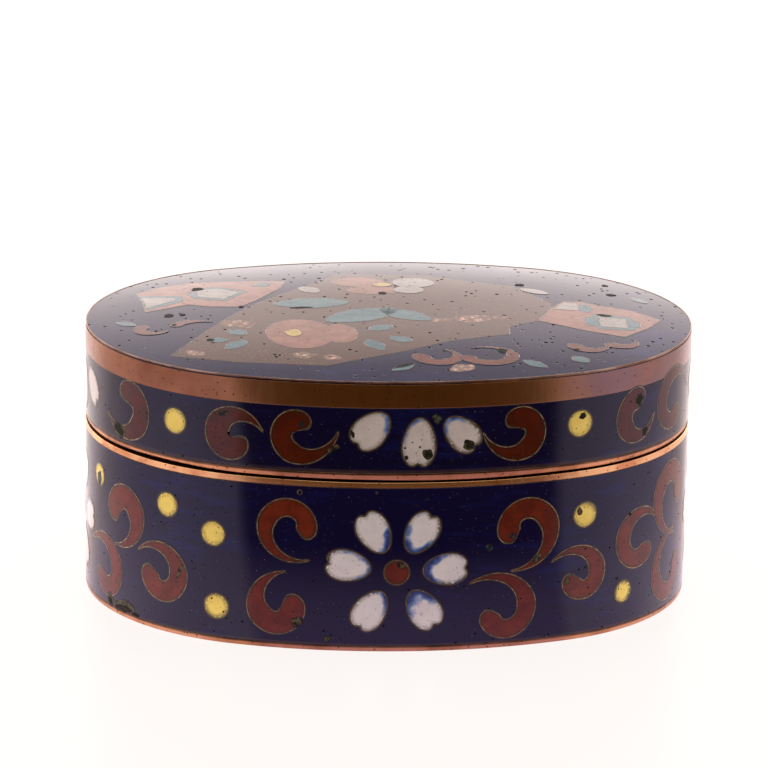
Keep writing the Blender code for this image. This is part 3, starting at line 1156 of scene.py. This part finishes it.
TOP_SCROLLS = [
    (4.2, -19.4, 2.0, 150, 280, 1.5, 0.95),
    (10.5, -18.7, 2.9, 185, 300, 1.1, 0.85),
    (23.4, -14.3, 1.9, 165, 215, 1.2, 0.80),
    (27.4, -12.6, 1.7, 200, 190, 1.3, 0.75),
    (-29.8, -5.8, 1.6, 110, 240, 1.3, 0.70),
    (-24.6, -5.6, 2.6, 165, -120, 1.2, 0.65),
]


def polygon_outline(corners):
    """The centre of a polygon, and its outline from there, run anticlockwise."""
    area = sum(a[0] * b[1] - b[0] * a[1] for a, b in zip(corners, corners[1:] + corners[:1]))
    ordered = corners if area > 0 else corners[::-1]
    centre = sum((Vector(corner) for corner in ordered), Vector((0.0, 0.0))) / len(ordered)

    def outline(turn):
        walked = turn / (2 * math.pi) * len(ordered) % len(ordered)
        index = int(walked)
        first = Vector(ordered[index])
        last = Vector(ordered[(index + 1) % len(ordered)])
        return first.lerp(last, walked - index) - centre

    return centre, outline


def ragged_outline(half_length, half_width, seed):
    """An oval with an uneven edge."""
    dice = random.Random(seed)
    starts = [dice.uniform(0, 2 * math.pi) for _ in range(4)]

    def outline(turn):
        uneven = 1 + sum(0.06 * math.sin((wave + 2) * turn + start) for wave, start in enumerate(starts))
        return half_length * math.cos(turn) * uneven, half_width * math.sin(turn) * uneven

    return outline


def leaf_outline(half_length, half_width, pointed):
    def outline(turn):
        swell = 1 - pointed * abs(math.cos(turn)) ** 1.5
        return half_length * math.cos(turn), half_width * math.sin(turn) * swell

    return outline


def fleck_finish():
    """Brown-grey enamel, thick with flakes of bright copper."""
    finish = Finish("panel_enamel", (0.15, 0.085, 0.062), 0.2)
    place = finish.place()
    clouds = finish.cloud(place, 160.0, 6.0, 0.62)
    flecks = finish.specks(place, 2300.0, 0.20, 0.2) * finish.ease(clouds, 0.40, 0.62)
    pits = top_pits(finish, place)
    ground = finish.mix(clouds, (0.138, 0.079, 0.056), (0.078, 0.043, 0.030))
    finish.feed("Base Color", finish.mix(flecks * 0.5, ground, (0.60, 0.30, 0.16)))
    finish.feed("Roughness", clouds * 0.10 + 0.12)
    finish.bump(clouds * 0.1 - pits, 0.03 * MM)
    finish.open_pits(pits)
    return finish.material


def goldstone_finish():
    """The brighter patches, where the copper flakes lie close together."""
    finish = Finish("goldstone_enamel", (0.30, 0.15, 0.09), 0.25)
    place = finish.place()
    grain = finish.cloud(place, 1500.0, 4.0, 0.7)
    rim = finish.ease(finish.attribute("edge"), 0.0, 0.5 * MM)
    flakes = finish.ease(grain, 0.54, 0.62) * rim
    finish.feed("Base Color", finish.mix(flakes, (0.155, 0.087, 0.060), (0.72, 0.40, 0.25)))
    finish.feed("Metallic", flakes * 0.3)
    finish.feed("Roughness", grain * 0.3 + 0.15)
    finish.bump(flakes, 0.02 * MM)
    return finish.material


TOP_FINISHES = {
    "gold": goldstone_finish(),
    "pink": cell_finish(
        "pink_enamel", (0.33, 0.168, 0.122), (0.24, 0.118, 0.086), (0.16, 0.10, 0.07), 0.30 * MM
    ).material,
    "turquoise": cell_finish(
        "turquoise_enamel", (0.13, 0.20, 0.205), (0.08, 0.145, 0.155), (0.10, 0.09, 0.07), 0.30 * MM
    ).material,
    "white": cell_finish(
        "cream_enamel", (0.37, 0.335, 0.30), (0.30, 0.27, 0.24), (0.20, 0.15, 0.10), 0.25 * MM
    ).material,
    "yellow": cell_finish(
        "pale_yellow_enamel", (0.58, 0.42, 0.15), (0.48, 0.34, 0.11), (0.20, 0.12, 0.05), 0.2 * MM
    ).material,
    "red": cell_finish(
        "top_red_enamel", (0.20, 0.075, 0.050), (0.14, 0.050, 0.035), (0.06, 0.05, 0.04), 0.4 * MM
    ).material,
}
TOP_ORDER = ("gold", "pink", "turquoise", "white", "yellow", "red")


def top_piece(colour, level, grow, finish, kind):
    """All the cells of one colour on the top, or with grow their wires."""

    def add_all(mesh):
        for corners in TOP_POLYGONS.get(colour, []):
            centre, outline = polygon_outline(corners)
            sides = 8 * len(corners)
            add_disc(mesh, centre, 0, outline, ON_TOP, level, grow, 6, sides)
        for x, y, direction, length, width, pointed in TOP_LEAVES.get(colour, []):
            outline = leaf_outline(length, width, pointed)
            if colour == "gold":
                outline = ragged_outline(length, width, str(x))
            add_disc(mesh, (x, y), direction, outline, ON_TOP, level, grow, 5, 36)
        if colour == "red":
            for motif in TOP_SCROLLS:
                add_scroll(mesh, scroll_shape(*motif, grow), ON_TOP, level)

    return plate("top_" + colour + kind, add_all, [finish], ON_TOP, 0.3 * MM)


def panel_plate(name, level, grow, finish):
    def add_panel(mesh):
        centre, outline = polygon_outline(PANEL)
        add_disc(mesh, centre, 0, outline, ON_TOP, level, grow, 30, 12 * len(PANEL))

    return plate(name, add_panel, [finish], ON_TOP, 0.3 * MM)


TOP_BRASS = wire_finish(
    "top_brass", (0.32, 0.23, 0.17), 0.45, TOP_WIRE, 0.0, (0.100, 0.070, 0.055)
)
panel_wire_level = PANEL_LEVEL + LEVEL_STEP / 2
top_pieces = [
    panel_plate("top_panel", PANEL_LEVEL, 0.0, fleck_finish()),
    panel_plate("top_panel_wire", panel_wire_level, TOP_WIRE, TOP_BRASS),
]
level = PANEL_LEVEL
for colour in TOP_ORDER:
    if colour != "gold":
        level -= LEVEL_STEP / 2
        top_pieces.append(top_piece(colour, level, TOP_WIRE, TOP_BRASS, "_wires"))
    level -= LEVEL_STEP / 4
    top_pieces.append(top_piece(colour, level, 0.0, TOP_FINISHES[colour], "_cells"))
for piece in top_pieces:
    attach(piece, "root")

# Pits and chips: air holes that opened when the enamel was ground, and small
# chips at its edges. They are dark and rough, some with an olive or blue rim.
CHIP_LEVEL = 0.001 * MM
# Each is given as along, height, half length, half height and turn.
WALL_PITS = [
    (21.9, 28.5, 0.45, 0.42, 0), (-12.8, 28.5, 0.42, 0.45, 0), (-0.4, 25.8, 0.13, 0.14, 0),
    (0.5, 26.5, 0.10, 0.10, 0), (1.4, 25.9, 0.14, 0.14, 0), (-6.7, 27.5, 0.22, 0.5, 15),
    (-13.3, 3.3, 0.20, 0.22, 0), (32.1, 24.9, 0.40, 0.5, 0), (22.9, 9.1, 0.15, 0.17, 0),
    (29.8, 14.7, 0.25, 0.22, 0), (27.9, 6.8, 0.22, 0.2, 0), (-0.2, 24.6, 0.22, 0.3, 0),
    (-38.9, 24.0, 1.0, 0.65, -20), (-41.0, 1.3, 0.5, 0.5, 0), (-37.9, 1.15, 1.7, 0.42, 6),
    (-35.5, 0.95, 0.7, 0.25, 0), (7.4, 25.9, 0.40, 0.38, 0), (2.35, 25.0, 0.36, 0.34, 0),
    (30.8, 29.1, 0.6, 0.6, 0),
]
WALL_STAINS = [
    (7.35, 26.0, 0.75, 0.65, 0), (2.35, 25.0, 0.65, 0.65, 0), (-38.9, 23.9, 1.4, 0.9, -20),
    (30.8, 29.1, 0.85, 0.85, 0), (3.4, 29.4, 0.55, 0.7, 30), (-9.0, 25.6, 0.9, 0.35, 30),
    (-37.9, 1.4, 2.4, 0.75, 6), (-41.0, 1.5, 0.8, 0.9, 0), (-44.2, 16.3, 0.65, 0.95, 0),
    (32.1, 24.9, 0.6, 0.7, 0), (-13.1, 3.5, 0.85, 0.60, 45), (-9.4, 1.5, 0.42, 0.40, 0),
    (21.9, 16.4, 0.38, 0.5, 20), (10.2, 12.9, 0.55, 0.5, 0), (16.4, 11.1, 0.8, 0.35, 40),
    (-28.3, 8.2, 0.28, 1.1, -25), (20.5, 7.7, 0.38, 0.45, 0), (13.1, 14.2, 0.45, 0.38, 0),
    (-0.6, 11.0, 0.55, 0.40, -30), (-22.6, 29.1, 0.9, 0.32, 10),
]
TOP_PITS = [
    (-23.5, 13.0, 0.75, 0.85, 0), (-27.6, 0.3, 0.6, 0.7, 0), (-25.9, 0.5, 0.38, 0.45, 0),
    (-27.1, -4.2, 0.32, 0.4, 0), (-18.4, 3.5, 0.35, 0.4, 0), (-22.9, -11.2, 0.5, 0.5, 0),
    (-10.9, 2.6, 1.4, 0.32, 3), (-0.1, 9.5, 0.5, 0.6, 0), (18.0, 14.1, 0.6, 0.6, 0),
    (29.3, 9.8, 0.6, 0.5, 0), (27.0, -0.8, 0.9, 0.5, -15), (12.4, -17.0, 0.6, 0.8, 0),
    (-0.1, -22.6, 1.35, 0.45, 36), (21.6, -16.2, 0.35, 0.45, 0), (29.2, 15.0, 0.4, 0.4, 0),
]
RING_WIRES = [(-12.95, 19.95, 0.44), (-3.7, 20.2, 0.26)]


def pit_finish():
    finish = Finish("open_pit", (0.012, 0.011, 0.010), 0.6)
    finish.feed("Specular IOR Level", 0.08)
    grain = finish.cloud(finish.place(), 2400.0, 4.0, 0.65)
    finish.feed("Base Color", finish.mix(grain, (0.003, 0.003, 0.003), (0.035, 0.030, 0.020)))
    finish.feed("Roughness", grain * 0.5 + 0.3)
    finish.bump(grain, 0.15 * MM)
    return finish.material


def stain_finish():
    """Where enamel thinned round a pit: olive and blue-green, with bits of copper."""
    finish = Finish("thin_enamel", (0.05, 0.055, 0.03), 0.3)
    finish.feed("Specular IOR Level", 0.25)
    place = finish.place()
    grain = finish.cloud(place, 1300.0, 5.0, 0.65)
    drift = finish.cloud(place, 500.0, 2.0, 0.5)
    green = finish.mix(finish.ease(grain, 0.44, 0.58), (0.012, 0.010, 0.008), (0.105, 0.085, 0.032))
    blue = finish.mix(finish.ease(grain, 0.45, 0.60), (0.006, 0.008, 0.020), (0.03, 0.075, 0.085))
    colour = finish.mix(finish.ease(drift, 0.58, 0.70), green, blue)
    shore = finish.ease(finish.attribute("edge") + grain * 0.3 * MM, 0.15 * MM, 0.35 * MM)
    finish.feed("Base Color", finish.mix(shore, (0.008, 0.007, 0.010), colour))
    finish.feed("Roughness", grain * 0.4 + 0.15)
    finish.bump(grain, 0.05 * MM)
    return finish.material


def chip_piece(name, chips, finish, place, level):
    def add_all(mesh):
        for index, (across, up, length, width, turn) in enumerate(chips):
            outline = ragged_outline(length, width, name + str(index))
            add_disc(mesh, (across, up), turn, outline, place, level, 0.0, 3, 24)

    return plate(name, add_all, [finish], place)


def ring_cells(name, spread, level, finish):
    def add_all(mesh):
        for along, height, radius in RING_WIRES:
            outline = round_outline(radius + spread)
            add_disc(mesh, (along, height), 0, outline, ON_WALL, level, 0.0, 4, 24)

    return plate(name, add_all, [finish], ON_WALL)


PIT = pit_finish()
THIN = stain_finish()
rings = (
    ring_cells("stray_wire_rings", 0.0, 2 * CHIP_LEVEL, WIRE_BRASS),
    ring_cells("stray_ring_middles", -0.20, CHIP_LEVEL, SIDE_GROUND),
)
for piece in rings:
    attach(piece, "root")
stains = chip_piece("wall_stains", WALL_STAINS, THIN, ON_WALL, 3 * CHIP_LEVEL)
pits = chip_piece("wall_pits", WALL_PITS, PIT, ON_WALL, CHIP_LEVEL)
top_chips = chip_piece("top_pits", TOP_PITS, PIT, ON_TOP, CHIP_LEVEL)
for piece, slot in ((stains, "side_enamel"), (pits, "side_enamel"), (top_chips, "top_enamel")):
    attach(piece, "root")

# Studio: a plain pale floor, white surroundings that the polished sides mirror,
# dark only where the camera stands, and the camera at the photograph's angle.
CAMERA_TURN = -0.090
CAMERA_RISE = 0.2979
CAMERA_ROLL = 0.0187
CAMERA_DISTANCE = 14.493 * HALF_LENGTH
AIM_HEIGHT = 0.43 * HALF_LENGTH
FOCAL_PIXELS = 4355.6
FRAME_PIXELS = 768
AIM_RIGHT, AIM_DOWN = 2.83, 69.72
SENSOR = 36.0


def studio_camera():
    turn, rise, roll = CAMERA_TURN, CAMERA_RISE, CAMERA_ROLL
    forward = Vector((-math.cos(rise) * math.sin(turn), math.cos(rise) * math.cos(turn), -math.sin(rise)))
    right = Vector((math.cos(turn), math.sin(turn), 0.0))
    up = right.cross(forward)
    rolled_right = right * math.cos(roll) + up * math.sin(roll)
    rolled_up = up * math.cos(roll) - right * math.sin(roll)
    place = Vector((0.0, 0.0, AIM_HEIGHT)) - forward * CAMERA_DISTANCE
    ahead = forward - rolled_right * (AIM_RIGHT / FOCAL_PIXELS) + rolled_up * (AIM_DOWN / FOCAL_PIXELS)
    ahead.normalize()
    side = ahead.cross(rolled_up).normalized()
    top = side.cross(ahead)
    data = bpy.data.cameras.new("camera")
    data.sensor_width = SENSOR
    data.lens = FOCAL_PIXELS * SENSOR / FRAME_PIXELS
    camera = bpy.data.objects.new("camera", data)
    axes = Matrix((side, top, -ahead)).transposed().to_4x4()
    camera.matrix_world = Matrix.Translation(place) @ axes
    bpy.context.scene.collection.objects.link(camera)
    bpy.context.scene.camera = camera


# The world's light by direction. Level light goes from behind the box (0) to the
# dark side (1), and light from behind goes from level (0) to straight up (1).
DARK_SIDE = math.radians(2.6)
DARK_START = 1.4 * MM
LEVEL_LIGHT = [
    (0.000, (1.30, 1.20, 1.20)),
    (0.060, (1.00, 0.84, 0.90)),
    (0.250, (1.04, 0.83, 0.81)),
    (0.600, (0.78, 0.62, 0.63)),
    (0.882, (0.70, 0.56, 0.56)),
    (0.900, (0.105, 0.058, 0.018)),
    (1.000, (0.090, 0.050, 0.016)),
]
BEHIND = [
    (0.05, (2.45, 2.22, 2.13)),
    (0.13, (1.90, 1.69, 1.62)),
    (0.20, (1.27, 1.11, 1.08)),
    (0.30, (0.71, 0.62, 0.62)),
    (0.40, (0.40, 0.345, 0.36)),
    (0.60, (0.46, 0.42, 0.42)),
]
SIDES = (1.35, 1.27, 1.27)
OVERHEAD = (1.40, 1.34, 1.32)
BELOW = (0.80, 0.72, 0.70)
# The bounce from the table, from behind the box (0) to the dark side (1), and
# what is added to it close to the wall.
TABLE_LIGHT = [
    (0.00, (1.50, 1.33, 1.30)),
    (0.17, (1.48, 1.24, 1.20)),
    (0.23, (1.34, 1.08, 1.05)),
    (0.30, (1.00, 0.80, 0.76)),
    (0.50, (0.86, 0.70, 0.80)),
    (0.68, (0.92, 0.76, 0.86)),
    (0.80, (0.78, 0.63, 0.73)),
    (0.882, (0.70, 0.56, 0.64)),
    (0.900, (0.100, 0.056, 0.018)),
    (1.000, (0.085, 0.048, 0.016)),
]
TABLE_NEAR = [
    (0.00, (0.42, 0.30, 0.40)),
    (0.30, (0.30, 0.22, 0.20)),
    (0.882, (0.24, 0.17, 0.16)),
    (0.900, (0.52, 0.37, 0.58)),
]


def shade(ramp, light):
    stops = ramp.color_ramp.elements
    for index, (position, colour) in enumerate(light):
        stop = stops[index] if index < 2 else stops.new(position)
        stop.position = position
        stop.color = (*colour, 1.0)


def studio_world():
    world = bpy.data.worlds.new("studio")
    world.use_nodes = True
    tree = world.node_tree
    background = tree.nodes["Background"]

    def node(kind, sockets=None, **settings):
        made = tree.nodes.new("ShaderNode" + kind)
        for key, value in settings.items():
            setattr(made, key, value)
        for key, value in (sockets or {}).items():
            if isinstance(value, bpy.types.NodeSocket):
                tree.links.new(value, made.inputs[key])
            else:
                made.inputs[key].default_value = value
        return made

    way = node("TexCoord").outputs["Generated"]
    level = node("VectorMath", {0: way, 1: (1.0, 1.0, 0.0)}, operation="MULTIPLY").outputs[0]
    flat = node("VectorMath", {0: level}, operation="NORMALIZE").outputs[0]
    dark_way = (math.sin(DARK_SIDE), -math.cos(DARK_SIDE), 0.0)
    facing = node("VectorMath", {0: flat, 1: dark_way}, operation="DOT_PRODUCT").outputs["Value"]
    side_way = (math.cos(CAMERA_TURN), math.sin(CAMERA_TURN), 0.0)
    aside = node("VectorMath", {0: flat, 1: side_way}, operation="DOT_PRODUCT").outputs["Value"]
    aside = node("Math", {0: aside}, operation="ABSOLUTE").outputs[0]
    gain = node("MapRange", {0: aside, 1: 0.0, 2: 0.30, 3: 1.0, 4: 2.5}).outputs[0]
    height = node("SeparateXYZ", {0: way}).outputs["Z"]

    def rise(value, low, high):
        eased = node("MapRange", {0: value, 1: low, 2: high}, interpolation_type="SMOOTHSTEP")
        return eased.outputs[0]

    def blend(amount, first, second):
        return node("Mix", {0: amount, 6: first, 7: second}, data_type="RGBA").outputs[2]

    around = node("ValToRGB", {0: node("MapRange", {0: facing, 1: -1.0, 2: 1.0}).outputs[0]})
    shade(around, LEVEL_LIGHT)
    behind = node("ValToRGB", {0: height})
    shade(behind, BEHIND)
    glow = node("VectorMath", {0: behind.outputs[0], "Scale": gain}, operation="SCALE").outputs[0]
    upper = blend(rise(facing, -0.3, -0.8), (*SIDES, 1.0), glow)
    upper = blend(rise(facing, 0.60, 0.82), upper, around.outputs[0])
    sky = blend(rise(height, -0.06, 0.06), around.outputs[0], upper)
    sky = blend(rise(height, 0.45, 0.70), sky, (*OVERHEAD, 1.0))
    sky = blend(rise(height, -0.38, -0.50), sky, (*BELOW, 1.0))
    seen = node("LightPath").outputs["Is Camera Ray"]
    shown = node("Mix", {0: seen, 6: sky, 7: (1.0, 0.995, 0.99, 1.0)}, data_type="RGBA").outputs[2]
    tree.links.new(shown, background.inputs["Color"])
    bpy.context.scene.world = world


def studio_floor():
    """The pale floor that the camera sees."""
    mesh = bmesh.new()
    bmesh.ops.create_grid(mesh, x_segments=2, y_segments=2, size=3.0)
    finish = Finish("studio_floor", (0.10, 0.095, 0.092), 0.35)
    finish.feed("Specular IOR Level", 0.06)
    finish.feed("Emission Color", (1.0, 0.962, 0.94, 1.0))
    finish.feed("Emission Strength", 0.885)
    floor = finished("studio_floor", mesh, [finish.material])
    floor.visible_glossy = False
    floor.visible_diffuse = False
    floor.visible_shadow = False


def table_bounce():
    """The light that the table throws back, strongest close to the box."""
    mesh = bmesh.new()
    bmesh.ops.create_grid(mesh, x_segments=2, y_segments=2, size=0.6)
    for vert in mesh.verts:
        vert.co.z = -0.05 * MM
    finish = Finish("table_bounce", (0.0, 0.0, 0.0), 1.0)
    finish.feed("Specular IOR Level", 0.0)
    spot = finish.node("SeparateXYZ", {}, {0: finish.place()})
    across = spot
    depth = Value(finish, spot.socket.node.outputs["Y"])
    ahead = across * math.sin(DARK_SIDE) - (depth + DARK_START) * math.cos(DARK_SIDE)
    aside = across * math.cos(DARK_SIDE) + (depth + DARK_START) * math.sin(DARK_SIDE)
    facing = ahead / ((ahead * ahead + aside * aside) ** 0.5)
    turned = facing * 0.5 + 0.5
    light, close_by = [
        finish.node("ValToRGB", {"stops": [(at, (*rgb, 1.0)) for at, rgb in ramp]}, {0: turned})
        for ramp in (TABLE_LIGHT, TABLE_NEAR)
    ]
    wide = (across / HALF_LENGTH) ** 2.0 + (depth / HALF_WIDTH) ** 2.0
    near = 1.0 - finish.ease(wide ** 0.5, 1.0, 2.7)
    added = {0: near, 6: light, 7: close_by}
    bright = finish.node("Mix", {"data_type": "RGBA", "blend_type": "ADD"}, added, 2)
    finish.feed("Emission Color", bright)
    finish.feed("Emission Strength", 1.0)
    bounce = finished("table_bounce", mesh, [finish.material])
    bounce.visible_camera = False


studio_camera()
studio_world()
studio_floor()
table_bounce()
bpy.context.scene.view_settings.view_transform = "Standard"
